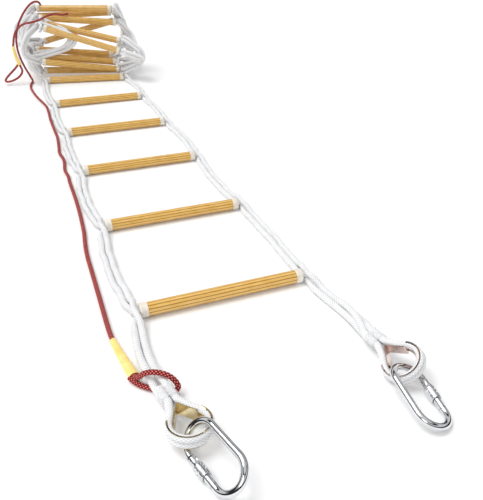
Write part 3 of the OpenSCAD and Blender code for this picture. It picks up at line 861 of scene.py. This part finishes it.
def ribbed_tube(name, place):
    """A tube with rounded lands between narrow grooves, and its bore."""
    sides = GROOVES * 16
    u = np.arange(sides) / sides
    off = np.abs((u * GROOVES + 0.5) % 1 - 0.5) * 360 / GROOVES
    land_half = 180 / GROOVES
    r = TUBE_D / 2 - GROOVE_DEPTH * smoothstep(1 - off / GROOVE_HALF) - LAND_FALL * (off / land_half) ** 4
    rows, v = [], []
    ends = TUBE_HALF - END_GAP
    for radius, xs in ((r, np.linspace(-ends, ends, 25)), (BORE_R, (ends, -ends))):
        for x in xs:
            y, z = radius * np.sin(2 * pi * u), radius * np.cos(2 * pi * u)
            rows.append(np.stack([np.full(sides, x), y, z], 1))
            v.append(x / (2 * pi * TUBE_D / 2))
    return shell_piece(name, [put(row, place) for row in rows], v, amber, 50)


def core_rope(name, place):
    """The rope through a rung, with a rounded knob at each end."""
    line = rung_point(place, 0) + np.linspace(-CORE_HALF, CORE_HALF, 120)[:, None] * axis_of(place)
    base = braided(CORE_D / 2, CORE_CELLS, 0.3)

    def radius(u, at):
        return base(u, at) + KNOB_RISE * smoothstep((np.abs(at - CORE_HALF) - KNOB_START) / 5)

    rings = swept(line, radius, 24, 1.6)
    return rope_piece(name, rings, 0, len(rings[0]) - 1, CORE_D / 2, white_core, (True, True))[0]


for k in range(1, LAID + 1):
    made(ribbed_tube(f"rung_{k}_tube", rung_place(k)), body_above(k), "amber_tube", f"rung_{k}")
    made(core_rope(f"rung_{k}_core", rung_place(k)), body_above(k), "white_rope", f"rung_{k}_core_rope")
for n, place in enumerate(ROLLED):
    made(ribbed_tube(f"rolled_tube_{n + 1}", place), "roll", "amber_tube", "rolled_rungs")
    made(core_rope(f"rolled_core_{n + 1}", place), "roll", "white_rope", "rolled_core_ropes")


# ---------------------------------------------------------------- the eyes' clear film
# Along the eye's x axis: where it starts and its length. Then half its bore's width and height.
FILM_START, FILM_LENGTH, FILM_HALF_WIDE, FILM_HALF_TALL = 6, 26, 12.9, 10.6


def film_piece(side):
    """Shrunk film round the throat's four rope runs, with creases."""
    sides = 64
    u = np.arange(sides) / sides
    c, s = np.cos(2 * pi * u), np.sin(2 * pi * u)
    square = (np.abs(c) ** 4 + np.abs(s) ** 4) ** -0.25
    rows, v = [], []
    xs = np.linspace(0, FILM_LENGTH, 34)
    for wall, order in ((0.55, xs), (0.05, xs[::-1])):
        for x in order:
            crease = 0.28 * np.sin(6 * pi * u + x / 4) + 0.2 * np.sin(x / 1.7 + 3 * np.sin(4 * pi * u))
            mouth = 0.5 * (np.exp(-x / 2) + np.exp(-(FILM_LENGTH - x) / 2))
            y = (FILM_HALF_WIDE + wall + crease + mouth) * c * square
            z = (FILM_HALF_TALL + wall + crease + mouth) * s * square
            rows.append(eye_put(side, np.stack([np.full(sides, FILM_START + x), -y, EYE_LEVEL + z], 1)))
            v.append(x / 60)
    return shell_piece(side + "_film", rows, v, clear_film, 50)


for side_name in ("left", "right"):
    made(film_piece(side_name), side_name + "_tail", "clear_film", side_name + "_clear_sleeve")


# ---------------------------------------------------------------- CAD nodes that stay
def dress(material, *names):
    """Gives CAD nodes a material."""
    for name in names:
        mesh = nodes[name].data
        mesh.materials.clear()
        mesh.materials.append(material)


dress(cap_plastic, "rolled_caps", *[f"rung_{k}_caps" for k in range(1, LAID + 1)])
for side_name, strip in (("left", zinc), ("right", pink_zinc)):
    dress(strip, side_name + "_thimble")
    dress(polished_steel, side_name + "_carabiner", side_name + "_gate")
    dress(brushed_steel, side_name + "_lock_sleeve")
    dress(small_steel, side_name + "_rivet", side_name + "_spring")

# ---------------------------------------------------------------- floor, world and lights, in metres
FLOOR_Z = -0.0005
floor_mesh = bpy.data.meshes.new("floor")
corners = [(x, y, FLOOR_Z) for x, y in ((-8, -6), (8, -6), (8, 12), (-8, 12))]
floor_mesh.from_pydata(corners, [], [(0, 1, 2, 3)])
floor = bpy.data.objects.new("floor", floor_mesh)
bpy.context.scene.collection.objects.link(floor)
paper = Look("paper", Roughness=0.9, Specular_IOR_Level=0.1)
paper.set("Base Color", paper.ramp(paper.noise(paper.place(), 3, 2), (0.3, 0.93), (0.7, 0.95)))
floor_mesh.materials.append(paper.material)

# What shiny pieces reflect: greys by the height of the direction, from the horizon (0) to straight up (1).
REFLECTED = (
    (0.0, 0.3), (0.02, 0.02), (0.3, 0.03), (0.4, 1.0), (0.6, 1.0), (0.66, 0.03), (0.76, 0.03), (0.82, 1.0),
)
# The even greys that light the matt surfaces, and that the camera sees behind everything.
PLAIN = (("Is Diffuse Ray", 0.87), ("Is Camera Ray", 1.3))
WORLD_STRENGTH = 0.78

world = bpy.data.worlds.new("studio")
world.use_nodes = True
bpy.context.scene.world = world
tree = world.node_tree
parts = tree.nodes.new("ShaderNodeSeparateXYZ")
tree.links.new(tree.nodes.new("ShaderNodeTexCoord").outputs["Generated"], parts.inputs[0])
ramp = tree.nodes.new("ShaderNodeValToRGB")
tree.links.new(parts.outputs[2], ramp.inputs[0])
while len(ramp.color_ramp.elements) < len(REFLECTED):
    ramp.color_ramp.elements.new(0.5)
for element, (position, grey) in zip(ramp.color_ramp.elements, REFLECTED):
    element.position = position
    element.color = (grey, grey, grey, 1)
rays = tree.nodes.new("ShaderNodeLightPath")
shade = ramp.outputs[0]
for kind, grey in PLAIN:
    plain = tree.nodes.new("ShaderNodeMix")
    plain.data_type = "RGBA"
    plain.inputs[7].default_value = (grey, grey, grey, 1)
    tree.links.new(rays.outputs[kind], plain.inputs[0])
    tree.links.new(shade, plain.inputs[6])
    shade = plain.outputs[2]
tree.links.new(shade, tree.nodes["Background"].inputs[0])
tree.nodes["Background"].inputs[1].default_value = WORLD_STRENGTH


def light(kind, name, place, aim, power, **settings):
    """A light at a place, aimed at a point."""
    data = bpy.data.lights.new(name, kind)
    data.energy = power
    for key, value in settings.items():
        setattr(data, key, value)
    obj = bpy.data.objects.new(name, data)
    obj.location = place
    obj.rotation_euler = (Vector(aim) - Vector(place)).to_track_quat("-Z", "Y").to_euler()
    bpy.context.scene.collection.objects.link(obj)


light("SUN", "key", (-1.3, 0.7, 3.0), (0, 0, 0), 1.6, angle=radians(38))
light("AREA", "front", (-1.6, -2.6, 1.5), (0, -0.6, 0), 12, shape="SQUARE", size=1.2)

bpy.context.scene.view_settings.view_transform = "Standard"
